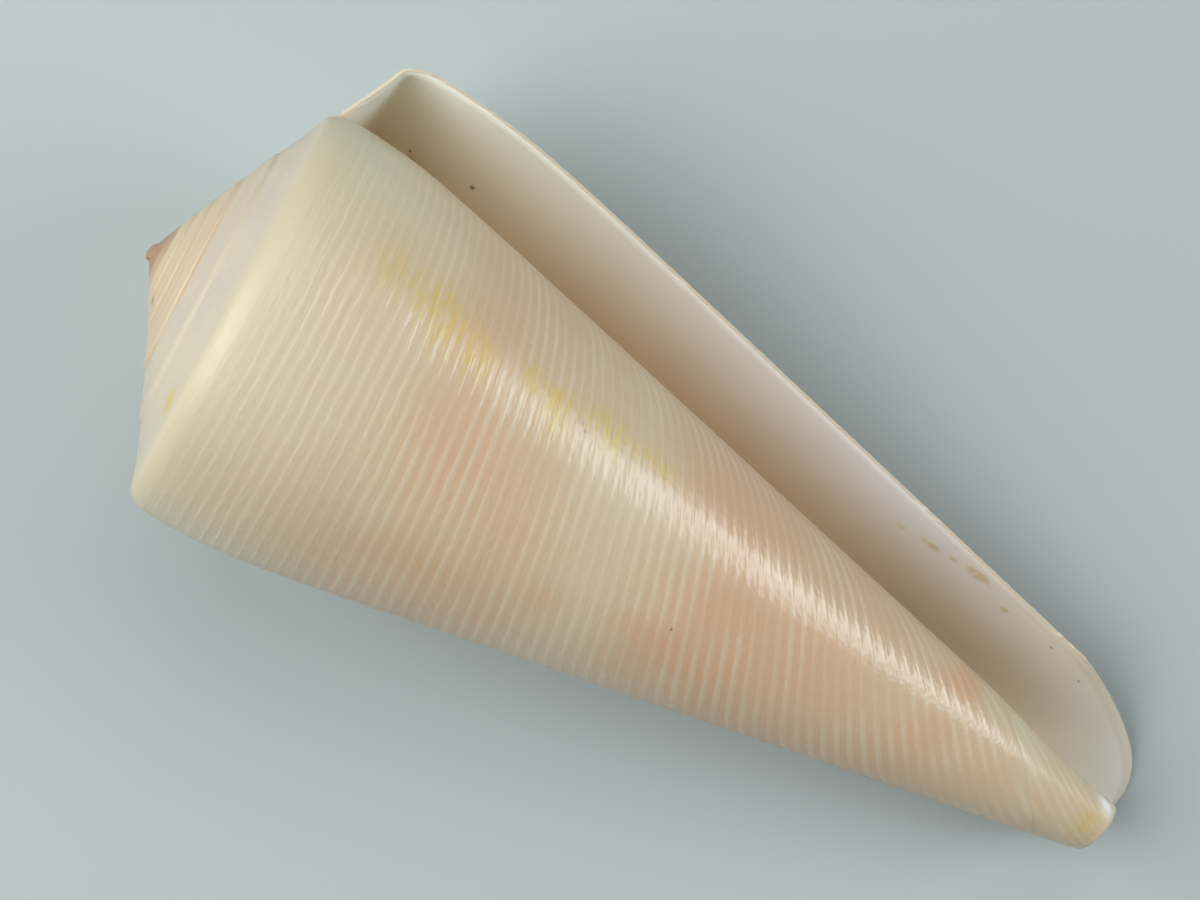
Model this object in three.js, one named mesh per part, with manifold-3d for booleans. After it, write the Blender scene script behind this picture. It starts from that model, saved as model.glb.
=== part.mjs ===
// A cone shell lying on its back, with the long narrow aperture facing up.
//
// The shell is one solid, grown as one piece. A sheet of shell winds round the
// columella, and every turn of it is a copy of the turn before, WHORL_GROWTH times
// as large. So one outline, taken along the outer lip, and one growth factor give
// the whole form: the stepped spire, the straight-sided body whorl and the thin lip.
//
// The shell is first built about its own axis: x points to the outer lip, y out of
// the aperture and z from the apex to the narrow base. It is then laid down, so that
// in the finished part +X runs from apex to base, +Y to the lip and +Z up.
// Lengths are in millimetres. Angles behind the lip are in degrees where a name says so,
// and in radians elsewhere.

import * as THREE from 'three';
import { mergeVertices } from 'three/addons/utils/BufferGeometryUtils.js';
import Module from 'manifold-3d';

const TURN = 2 * Math.PI;
const HALVINGS = 50; // of an interval, to find a point on a curve
const SAME_POINT = 1e-5; // corner points closer than this are one point
const degrees = (angle) => (angle * TURN) / 360;

// Growth of the spiral.
const WHORL_GROWTH = 1.43; // size of a whorl over the size of the one before
const SPIRE_TURNS = 7; // turns from the tip of the apex to the lip
const CAVITY_TURNS = 0.75; // depth of the hollow behind the lip, in turns

// The outline at the lip, as [distance from the apex along the axis, radius].
const RAMP = [[6.52, 14.27], [7.1, 15.75], [7.5, 16.85]]; // spire face of the whorl
const SIDE = [
  [7.95, 17.25], [9.2, 17.66], [12, 17.74], [17, 17.4], [24, 16.28], [33, 14.64],
  [43, 12.8], [54, 10.77], [66, 8.54], [77, 6.5], [86, 4.85], [93, 3.2], [99, 1.75], [105, 0.65],
]; // from the shoulder down the straight side and on round the columella

// The front margin, where the sheet ends round the base, as [degrees behind the lip,
// distance from the apex along the axis].
const MARGIN = [
  [0, 67.6], [8, 70.1], [24, 74], [44, 76.9], [68, 78.2],
  [96, 77.8], [135, 75.7], [190, 74.8], [265, 74.8], [338, 75],
];

// The wall.
const LIP_THICKNESS = 0.55;
const WALL_THICKENING = 0.7; // added further in
const THICKENING_ANGLE = 0.9; // how far in most of it is reached
const WALL_TAPER_ROWS = 4; // rows over which the wall thins onto the columella
const WALL_FOOT = 1.6; // length of its foot there, in wall thicknesses

// The spire and the apex.
const SPIRE_TILT = 0.035; // the spire is tilted this much, as a slope, towards the lip
const SPIRE_TILT_DEPTH = 7; // and the tilt fades at this distance down the axis
const APEX_DRIFT = 0.9; // the very tip lies this far off the axis, away from the lip
const APEX_DRIFT_DEPTH = 1.6; // and the drift fades over this distance down the axis
const NIPPLE = [[0.3, 0.62], [0.08, 0.52], [-0.04, 0.3]]; // rings of the first whorl
const NIPPLE_TIP = -0.1;
const COLUMELLA_TIP = 0.15; // the columella ends this far past the margin

// How it lies.
const REST_PITCH = degrees(10); // the base end is lower than the apex end
const REST_FLAT_DEPTH = 0.1; // worn off the back along the line it lies on

// Fineness of the facets.
const STEPS = 36; // steps in a turn
const SIDE_ROWS = 12; // rows from the shoulder to the corner of the lip
const MARGIN_ROWS = 20; // rows round the front margin
const MARGIN_CROWDING = 1.3; // above 1, the rows crowd towards the corner of the lip
const COLUMELLA_RINGS = 2;

// The part of a curve, from 0 to 1, at which it reaches a given x.
function partAt(curve, x) {
  let low = 0;
  let high = 1;
  for (let k = 0; k < HALVINGS; k += 1) {
    const middle = (low + high) / 2;
    if (curve.getPoint(middle).x < x) low = middle;
    else high = middle;
  }
  return high;
}

function outlineCurve(points) {
  return new THREE.SplineCurve(points.map(([x, y]) => new THREE.Vector2(x, y)));
}

// A row is one line that runs round the shell from the apex to the lip. It holds the
// place of its end on the lip, how far that end is swept back, and the way out there.
function makeRow(curve, part, sweep) {
  const point = curve.getPoint(part);
  const tangent = curve.getTangent(part);
  const scale = WHORL_GROWTH ** (sweep / TURN);
  return {
    distance: point.x * scale,
    radius: point.y * scale,
    sweep,
    outDistance: -tangent.y,
    outRadius: tangent.x,
  };
}

function rowsAlong(curve, end, count) {
  return Array.from({ length: count }, (_, k) => makeRow(curve, (end * (k + 1)) / count, 0));
}

// Rows that end on the front margin. Each ends further behind the lip than the last.
function rowsOnMargin(margin, curve, count) {
  const rows = [];
  for (let k = 1; k <= count; k += 1) {
    const behind = MARGIN.at(-1)[0] * (k / count) ** MARGIN_CROWDING;
    const distance = margin.getPoint(partAt(margin, behind)).y;
    const atLip = distance * WHORL_GROWTH ** (degrees(behind) / TURN);
    rows.push(makeRow(curve, partAt(curve, atLip), -degrees(behind)));
  }
  return rows;
}

// Rows in order: the suture, the ramp, the shoulder, the side and the front margin.
const shoulder = SIDE[0];
const suture = shoulder.map((length) => length / WHORL_GROWTH);
const ramp = outlineCurve([suture, ...RAMP, shoulder]);
const side = outlineCurve(SIDE);
const rows = [
  makeRow(ramp, 0, 0),
  ...rowsAlong(ramp, 1, RAMP.length + 1),
  ...rowsAlong(side, partAt(side, MARGIN[0][1]), SIDE_ROWS),
  ...rowsOnMargin(outlineCurve(MARGIN), side, MARGIN_ROWS),
];
const SHOULDER = RAMP.length + 1;
const LAST = rows.length - 1;
const TIP_STEP = -SPIRE_TURNS * STEPS;
const CAVITY_STEP = -Math.round(CAVITY_TURNS * STEPS);

const positions = [];
const faces = [];
const known = new Map();

// Index of a corner point. Each is made once, so that the faces share it.
function corner(name, distance, radius, angle) {
  if (!known.has(name)) {
    const drift = APEX_DRIFT * Math.exp(-Math.max(0, distance) / APEX_DRIFT_DEPTH);
    const tilt = SPIRE_TILT * Math.exp(-((distance / SPIRE_TILT_DEPTH) ** 4));
    const x = radius * Math.cos(angle) - drift;
    known.set(name, positions.length / 3);
    positions.push(x, radius * Math.sin(angle), distance - tilt * x);
  }
  return known.get(name);
}

const scaleAt = (step) => WHORL_GROWTH ** (step / STEPS);
const angleAt = (step) => (step / STEPS) * TURN;

// Outside of the sheet. The suture of one whorl lies on the shoulder of the last one.
function outside(step, row) {
  if (row === 0 && step - STEPS >= TIP_STEP) return outside(step - STEPS, SHOULDER);
  const { distance, radius, sweep } = rows[row];
  const scale = scaleAt(step);
  return corner(`outside ${step} ${row}`, distance * scale, radius * scale, angleAt(step) + sweep);
}

function wallThickness(step) {
  return LIP_THICKNESS + WALL_THICKENING * (1 - Math.exp(angleAt(step) / THICKENING_ANGLE));
}

const footDistance = (step) => rows[LAST].distance - WALL_FOOT * wallThickness(step);

// Inside of the sheet, one wall thickness in. It starts on the whorl before, just
// below the suture, and ends on the columella.
function inside(step, row) {
  if (row === 0) return outside(step - STEPS, SHOULDER + 1);
  const { distance, radius, sweep, outDistance, outRadius } = rows[row];
  const scale = scaleAt(step);
  const name = `inside ${step} ${row}`;
  if (row === LAST) {
    return corner(name, footDistance(step) * scale, radius * scale, angleAt(step) + sweep);
  }
  const full = wallThickness(step);
  const taper = Math.min(1, (LAST - row) / WALL_TAPER_ROWS);
  const d = distance - full * (outDistance * taper + 1 - taper);
  const r = Math.max(radius - full * outRadius * taper, rows[LAST].radius);
  return corner(name, d * scale, r * scale, angleAt(step) + sweep);
}

function quad(a, b, c, d) {
  faces.push(a, c, b, a, d, c);
}

function triangle(a, b, c) {
  faces.push(a, c, b);
}

// Faces between two lines of corner points.
function strip(line, next) {
  for (let k = 0; k + 1 < line.length; k += 1) {
    quad(line[k], line[k + 1], next[k + 1], next[k]);
  }
}

function fan(hub, line) {
  for (let k = 0; k + 1 < line.length; k += 1) triangle(hub, line[k], line[k + 1]);
}

function lineOf(point, step, from, to) {
  const line = [];
  for (let row = from; row <= to; row += 1) line.push(point(step, row));
  return line;
}

function sheet(point, fromStep, toStep, fromRow, toRow) {
  for (let step = fromStep; step < toStep; step += 1) {
    strip(lineOf(point, step, fromRow, toRow), lineOf(point, step + 1, fromRow, toRow));
  }
}

// The columella, as points down its side from the sheet of one whorl to the next.
function columella(step) {
  const scale = scaleAt(Math.min(step, 0));
  const foot = footDistance(Math.min(step, 0));
  const last = rows[LAST];
  const turned = Math.max(step, 0) / STEPS;
  const start = { d: last.distance, r: last.radius };
  const end = { d: foot + (last.distance - foot) * turned, r: last.radius };
  const line = [outside(step - STEPS, LAST)];
  if (step === STEPS) return line;
  for (let k = 1; k <= COLUMELLA_RINGS; k += 1) {
    const part = k / (COLUMELLA_RINGS + 1);
    const d = start.d * scaleAt(step - STEPS) * (1 - part) + end.d * scale * part;
    const r = start.r * scaleAt(step - STEPS) * (1 - part) + end.r * scale * part;
    line.push(corner(`columella ${step} ${k}`, d, r, angleAt(step) + last.sweep));
  }
  if (step <= 0) line.push(inside(step, LAST));
  else line.push(corner(`columella end ${step}`, end.d * scale, end.r * scale, angleAt(step) + last.sweep));
  return line;
}

function addColumella() {
  for (let step = CAVITY_STEP; step < STEPS - 1; step += 1) strip(columella(step), columella(step + 1));
  fan(outside(0, LAST), columella(STEPS - 1));
  const tip = corner('columella tip', rows[LAST].distance + COLUMELLA_TIP, 0, 0);
  const ends = [outside(0, LAST)];
  for (let step = STEPS - 1; step >= 0; step -= 1) ends.push(columella(step).at(-1));
  ends.push(outside(0, LAST));
  fan(tip, ends);
}

// The thin edge of the lip and of the front margin.
function addLipEdge() {
  triangle(outside(0, 1), outside(-STEPS, SHOULDER + 1), outside(-STEPS, SHOULDER));
  triangle(outside(0, 1), inside(0, 1), outside(-STEPS, SHOULDER + 1));
  strip(lineOf(outside, 0, 1, LAST), lineOf(inside, 0, 1, LAST));
}

// The blind end of the hollow.
function addCavityEnd() {
  const step = CAVITY_STEP;
  fan(outside(step - STEPS, SHOULDER + 1), lineOf(inside, step, 1, SHOULDER + 1));
  strip(
    lineOf(inside, step, SHOULDER + 1, LAST - 1),
    lineOf(outside, step - STEPS, SHOULDER + 1, LAST - 1),
  );
  fan(inside(step, LAST - 1), [...columella(step).reverse(), outside(step - STEPS, LAST - 1)]);
}

// The first whorl, a small nipple on the tip of the spire.
function addApex() {
  let line = [];
  for (let k = 0; k <= STEPS; k += 1) line.push(outside(TIP_STEP + k, 0));
  NIPPLE.forEach(([distance, radius], ring) => {
    const next = [];
    for (let k = 0; k <= STEPS; k += 1) {
      const name = `nipple ${ring} ${k % STEPS}`;
      next.push(corner(name, distance, radius, angleAt(TIP_STEP + k)));
    }
    if (ring === 0) fan(next[0], lineOf(outside, TIP_STEP, 0, SHOULDER).reverse());
    strip(line, next);
    line = next;
  });
  fan(corner('nipple tip', NIPPLE_TIP, 0, 0), line);
}

sheet(outside, TIP_STEP, 0, 0, SHOULDER); // the spire
sheet(outside, -STEPS, 0, SHOULDER, LAST); // the body whorl
sheet(outside, CAVITY_STEP - STEPS, -STEPS, SHOULDER + 1, LAST); // the wall of the whorl inside
sheet((step, row) => inside(-step, row), 0, -CAVITY_STEP, 0, LAST); // the inside of the lip
addColumella();
addLipEdge();
addCavityEnd();
addApex();

const wound = new THREE.BufferGeometry();
wound.setAttribute('position', new THREE.Float32BufferAttribute(positions, 3));
wound.setIndex(faces.filter((_, k) => {
  const [a, b, c] = faces.slice(k - (k % 3), k - (k % 3) + 3);
  return a !== b && b !== c && c !== a;
}));

// Lay the shell on its back, with the middle of its footprint at the origin.
const laid = new THREE.Matrix4().set(
  0, Math.sin(REST_PITCH), Math.cos(REST_PITCH), 0,
  1, 0, 0, 0,
  0, Math.cos(REST_PITCH), -Math.sin(REST_PITCH), 0,
  0, 0, 0, 1,
);
wound.applyMatrix4(laid);
wound.computeBoundingBox();
const { min, max } = wound.boundingBox;
wound.translate(-(min.x + max.x) / 2, -(min.y + max.y) / 2, -min.z - REST_FLAT_DEPTH);

// The flat along the line it lies on is cut with a block that ends at z = 0.
const wasm = await Module();
wasm.setup();

function toSolid(geometry) {
  const bare = geometry.clone();
  bare.deleteAttribute('normal');
  bare.deleteAttribute('uv');
  const merged = mergeVertices(bare, SAME_POINT);
  return new wasm.Manifold(new wasm.Mesh({
    numProp: 3,
    vertProperties: new Float32Array(merged.attributes.position.array),
    triVerts: new Uint32Array(merged.index.array),
  }));
}

function toGeometry(solid) {
  const mesh = solid.getMesh();
  const geometry = new THREE.BufferGeometry();
  geometry.setAttribute('position', new THREE.BufferAttribute(mesh.vertProperties, 3));
  geometry.setIndex(new THREE.BufferAttribute(mesh.triVerts, 1));
  geometry.computeVertexNormals();
  return geometry;
}

const BLOCK = 200; // larger than the shell
const block = new THREE.BoxGeometry(BLOCK, BLOCK, BLOCK).translate(0, 0, -BLOCK / 2);
const shell = toSolid(wound).subtract(toSolid(block));

const group = new THREE.Group();
const coneShell = new THREE.Mesh(
  toGeometry(shell),
  new THREE.MeshStandardMaterial({ color: 0xdccab0, roughness: 0.35, metalness: 0 }),
);
coneShell.name = 'cone_shell';
group.add(coneShell);

export default group;
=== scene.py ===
"""A cone shell lying on its back, with a studio stage to show it on.

The shell is one sheet wound round its axis. Every turn is a copy of the turn before,
grown by one factor, so a single outline along the lip gives the whole form.
"""

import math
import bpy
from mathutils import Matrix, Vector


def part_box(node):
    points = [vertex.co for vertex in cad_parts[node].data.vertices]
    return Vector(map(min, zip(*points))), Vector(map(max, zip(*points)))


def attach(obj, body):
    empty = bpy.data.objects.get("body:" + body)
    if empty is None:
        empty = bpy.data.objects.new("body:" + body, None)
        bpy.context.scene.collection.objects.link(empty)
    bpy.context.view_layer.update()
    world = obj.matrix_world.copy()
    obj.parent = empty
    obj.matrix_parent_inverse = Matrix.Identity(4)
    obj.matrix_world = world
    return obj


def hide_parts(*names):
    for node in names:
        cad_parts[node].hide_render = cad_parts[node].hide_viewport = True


bl_info = {
    "name": "Cone Shell",
    "version": (1, 0, 0),
    "blender": (4, 5, 0),
    "location": "3D View > Sidebar > Shell",
    "description": "Winds a cone shell with spiral threads and sets a stage for it",
    "category": "Object",
}

import bpy
import numpy as np
from bpy.props import FloatProperty, FloatVectorProperty, IntProperty, PointerProperty
from mathutils import Color, Matrix, Vector

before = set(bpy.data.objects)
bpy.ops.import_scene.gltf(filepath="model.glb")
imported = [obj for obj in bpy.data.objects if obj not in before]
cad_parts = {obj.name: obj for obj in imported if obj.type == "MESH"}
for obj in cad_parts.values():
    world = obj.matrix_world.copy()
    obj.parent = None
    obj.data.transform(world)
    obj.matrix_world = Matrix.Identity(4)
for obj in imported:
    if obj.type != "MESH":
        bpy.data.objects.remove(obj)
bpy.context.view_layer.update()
LOW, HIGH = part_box("cone_shell")

TURN = 2 * math.pi
MM = 0.001

# The shell's own axis starts at the apex. This is where it lies in the frame.
AXIS_START = Vector((LOW.x + 0.068 * MM, (LOW.y + HIGH.y) / 2 - 1.451 * MM, 18.374 * MM))

# Outlines at the lip, in millimetres, as distance from the apex and radius.
RAMP = ((6.52, 14.27), (7.1, 15.75), (7.5, 16.85))
SIDE = (
    (7.95, 17.25), (9.2, 17.66), (12, 17.74), (17, 17.4), (24, 16.28), (33, 14.64), (43, 12.8),
    (54, 10.77), (66, 8.54), (77, 6.5), (86, 4.85), (93, 3.2), (99, 1.75), (105, 0.65),
)
# The front margin, as degrees behind the lip and distance from the apex.
MARGIN = (
    (0, 67.6), (8, 70.1), (24, 74), (44, 76.9), (68, 78.2),
    (96, 77.8), (135, 75.7), (190, 74.8), (265, 74.8), (338, 75),
)
NIPPLE = ((0.3, 0.62), (0.08, 0.52), (-0.04, 0.3))
NIPPLE_TIP = -0.1
COLUMELLA_TIP = 0.15

SPIRE_TURNS = 7
STEPS = 120  # steps in a turn
RAMP_ROWS = 12
RAMP_FOOT = 3  # the inside starts this many rows up the ramp
THREAD_ROWS = (0, 0.12, 0.25, 0.5, 0.75, 0.88)  # places of the rows within one thread
FIRST_SPACING = 0.9  # of the threads, in millimetres at the size of the lip
SPACING_GROWTH = 0.00725  # widening of the spacing for each millimetre down the side
SPACING_FROM = 10
# The threads run more aslant than the growth of the whorl, the most towards the base:
# distance at the lip, and how much nearer the shoulder the same thread is a turn earlier.
SLIDE = ((10, 0), (25, 4.5), (45, 11), (60, 14), (75, 14.5), (90, 9), (104.9, 0))
# How much of the relief shows: distance and part. It fades where the front margin runs.
RELIEF = ((8.2, 0), (12, 1), (81, 1), (84.5, 0.1), (88, 0.1), (92, 0.7), (100, 0.3))
SPACED_AT = 0.75  # the spacing of the threads holds this many turns behind the lip
SUTURE_DEPTH = 1.1  # the inside starts this far below the shoulder of the whorl before
COARSE_ROW = 1.5  # spacing of the rows inside, in millimetres
WALL_THICKENING = 0.7
THICKENING_ANGLE = 0.9
EDGE_BEVEL = 0.25
BEVEL_ANGLE = 0.1
WALL_TAPER = 85  # degrees over which the wall thins onto the columella
WALL_FOOT = 1.6
BRIM_BULGE = 0.4  # of the rounded edge of the lip, as a part of the wall
FADE_STEPS = 6  # steps over which the relief fades out before the threads end
COLUMELLA_RINGS = 2

# Points in the tables from which places on the curves are read.
OUTLINE_POINTS = 4001
SLIDE_POINTS = 401
PLACE_POINTS = 2001


class ShellForm(bpy.types.PropertyGroup):
    """Sizes of the shell."""

    whorl_growth: FloatProperty(
        name="Whorl growth", description="Size of a whorl over the size of the one before",
        default=1.43, min=1.2, max=2.0,
    )
    cavity_turns: FloatProperty(
        name="Cavity depth", description="Depth of the hollow behind the lip, in turns",
        default=0.75, min=0.25, max=0.9,
    )
    lip_thickness: FloatProperty(
        name="Lip thickness", description="Thickness of the wall at the edge of the lip",
        default=0.3 * MM, min=0.1 * MM, max=2 * MM, unit="LENGTH", subtype="DISTANCE",
    )
    thread_height: FloatProperty(
        name="Thread height", description="Height of the spiral threads on the last whorl",
        default=0.03 * MM, min=0, max=0.3 * MM, unit="LENGTH", subtype="DISTANCE",
    )
    thread_wave: FloatProperty(
        name="Thread waver", description="How far the threads waver from an even spiral",
        default=0.24 * MM, min=0, max=0.5 * MM, unit="LENGTH", subtype="DISTANCE",
    )
    growth_relief: FloatProperty(
        name="Growth relief", description="Height of the broad growth folds",
        default=0.05 * MM, min=0, max=0.3 * MM, unit="LENGTH", subtype="DISTANCE",
    )
    seed: IntProperty(name="Seed", description="Seed of the irregularities", default=7)


def colour(name, description, value):
    return FloatVectorProperty(
        name=name, description=description, default=value, min=0, max=1, size=3, subtype="COLOR",
    )


def power(name, value):
    return FloatProperty(
        name=name, description="Power of this light", default=value, min=0, unit="POWER",
    )


class ShellFinish(bpy.types.PropertyGroup):
    """Colours and gloss of the shell."""

    cream: colour("Cream", "Ground colour of the body near the shoulder", (0.60, 0.535, 0.375))
    blush: colour("Blush", "Peach flush of the body", (0.585, 0.385, 0.235))
    apricot: colour("Apricot", "Warmer patches in the flush of the body", (0.62, 0.33, 0.16))
    pale_thread: colour("Pale thread", "The threads, and streaks on the spire", (0.70, 0.63, 0.48))
    lilac: colour("Lilac", "Cloudy white of the last turn of the spire", (0.53, 0.475, 0.385))
    early_whorls: colour("Early whorls", "First whorls of the spire", (0.56, 0.435, 0.29))
    suture: colour("Suture", "Rust along the seam between the whorls", (0.55, 0.27, 0.08))
    nipple: colour("Nipple", "The very tip", (0.34, 0.20, 0.11))
    ochre: colour("Ochre", "Yellow stains on the body and inside the lip", (0.61, 0.445, 0.13))
    mark: colour("Mark", "Small dark specks", (0.12, 0.09, 0.06))
    # Also the white of the painted highlight on the very base.
    porcelain_and_glint: colour("Porcelain", "White of the inside near the lip", (0.91, 0.92, 0.92))
    mist: colour("Mist", "Grey-green of the inside towards the spire", (0.93, 0.98, 0.92))
    # Partly the inside's own peach, partly painted shade: this warm brown stands in for the shade
    # deep in the aperture.
    deep_peach_and_shade: colour("Depths", "Warm brown deep inside", (0.99, 0.78, 0.53))
    lip: colour("Lip", "Horny beige of the thin edge of the lip", (0.64, 0.56, 0.42))
    roughness: FloatProperty(
        name="Roughness", description="Roughness of the glaze", default=0.25, min=0.02, max=1,
        subtype="FACTOR",
    )
    wrinkles: FloatProperty(
        name="Wrinkles", description="Height of the fine growth wrinkles", default=0.011 * MM,
        min=0, max=0.1 * MM, unit="LENGTH", subtype="DISTANCE",
    )


class ShellStage(bpy.types.PropertyGroup):
    """Floor and lights of the stage."""

    floor: colour("Floor", "Colour of the paper on the floor", (0.40, 0.46, 0.455))
    window: power("Window", 1.6)
    key: power("Key", 1.7)
    ceiling: power("Ceiling", 0.7)
    ambient: FloatProperty(
        name="Ambient", description="Strength of the light from all round", default=0.12, min=0,
    )


def spline(points, parts):
    """Points of the even spline through the given ones, at parts from 0 to 1."""
    knots = np.array(points, float)
    place = np.asarray(parts) * (len(knots) - 1)
    first = np.clip(np.floor(place).astype(int), 0, len(knots) - 2)
    t = (place - first)[:, None]
    before, start, end, after = (
        knots[np.clip(first + k, 0, len(knots) - 1)] for k in (-1, 0, 1, 2)
    )
    leave, arrive = (end - before) / 2, (after - start) / 2
    cubic = (2 * start - 2 * end + leave + arrive) * t + (3 * end - 3 * start - 2 * leave - arrive)
    return cubic * t**2 + leave * t + start


def outline(points):
    """A fine table of an outline: its points and its unit tangents."""
    curve = spline(points, np.linspace(0, 1, OUTLINE_POINTS))
    tangent = np.gradient(curve, axis=0)
    return curve, tangent / np.linalg.norm(tangent, axis=1)[:, None]


def look_up(table, distances):
    """Radius and tangent of an outline at distances from the apex."""
    curve, tangent = table
    columns = (curve[:, 1], tangent[:, 0], tangent[:, 1])
    return [np.interp(distances, curve[:, 0], column) for column in columns]


def thread_number(distance):
    """Count of threads between the first one and a distance down the side."""
    widening = 1 + SPACING_GROWTH * (np.asarray(distance) - SPACING_FROM) / FIRST_SPACING
    return np.log(widening) / SPACING_GROWTH


def thread_distance(number):
    """Distance down the side of a thread."""
    return SPACING_FROM + (np.exp(SPACING_GROWTH * number) - 1) * FIRST_SPACING / SPACING_GROWTH


class Rows:
    """The lines that run round the shell, each with its place on the outline at the lip."""

    def __init__(self, growth):
        ramp_points = [[length / growth for length in SIDE[0]], *RAMP, SIDE[0]]
        ramp = outline(ramp_points)
        side = outline(SIDE)
        margin = spline(MARGIN, np.linspace(0, 1, OUTLINE_POINTS))
        at_lip = margin[:, 1] * growth ** (margin[:, 0] / 360)

        ramp_distances = spline(ramp_points, np.linspace(0, 1, RAMP_ROWS + 1))[:, 0]
        first = math.ceil(thread_number(SIDE[0][0]))
        last = math.floor(thread_number(at_lip[-1]))
        numbers = np.array([n + part for n in range(first, last) for part in THREAD_ROWS])
        spaced = np.append(thread_distance(numbers), at_lip[-1])
        possible = np.linspace(0, at_lip[-1], PLACE_POINTS)
        side_distances = np.interp(spaced, possible - SPACED_AT * self.slide(possible), possible)
        self.distance = np.concatenate([ramp_distances, side_distances])
        self.thread = thread_number(np.concatenate([ramp_distances, spaced]))
        on_ramp = look_up(ramp, ramp_distances)
        on_side = look_up(side, side_distances)
        self.radius, out_radius, out_distance = (
            np.concatenate(pair) for pair in zip(on_ramp, on_side)
        )
        self.out_distance = -out_distance
        self.out_radius = out_radius
        self.margin = (at_lip, margin[:, 0])
        self.behind = np.interp(self.distance, *self.margin, left=0)
        self.shoulder = RAMP_ROWS
        self.last = len(self.distance) - 1
        steps = np.hypot(np.diff(self.distance), np.diff(self.radius))
        self.along = np.concatenate([[0], np.cumsum(steps)])
        self.margin_end = MARGIN[-1][0]
        self.side = side
        self.lines = {}

        # Coarser rows serve the inside, which has no threads.
        below = self.along[self.shoulder] + SUTURE_DEPTH
        self.foot = int(np.argmin(abs(self.along - below)))
        places = np.arange(self.along[self.foot], self.along[-1], COARSE_ROW)
        coarse = sorted({int(np.argmin(abs(self.along - place))) for place in places})
        self.coarse = [row for row in coarse if row < self.last] + [self.last]
        self.inner = [*range(RAMP_FOOT, self.shoulder + 1, RAMP_FOOT), *self.coarse]

    @staticmethod
    def slide(distance):
        """How much nearer the shoulder a thread is a turn earlier."""
        places, amounts = spline(SLIDE, np.linspace(0, 1, SLIDE_POINTS)).T
        return np.interp(distance, places, amounts)

    def line(self, step):
        """Distance, radius, sweep, length along and relief of each row on a growth line."""
        if step not in self.lines:
            back = max(-1, min(0, step / STEPS))
            distance = self.distance + back * self.slide(self.distance)
            radius = np.where(
                self.distance > SLIDE[0][0], look_up(self.side, distance)[0], self.radius
            )
            behind = np.interp(distance, *self.margin, left=0)
            along = np.interp(distance, self.distance, self.along)
            relief = np.interp(distance, *zip(*RELIEF))
            self.lines[step] = np.array((distance, radius, behind, along, relief))
        return self.lines[step]


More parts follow.
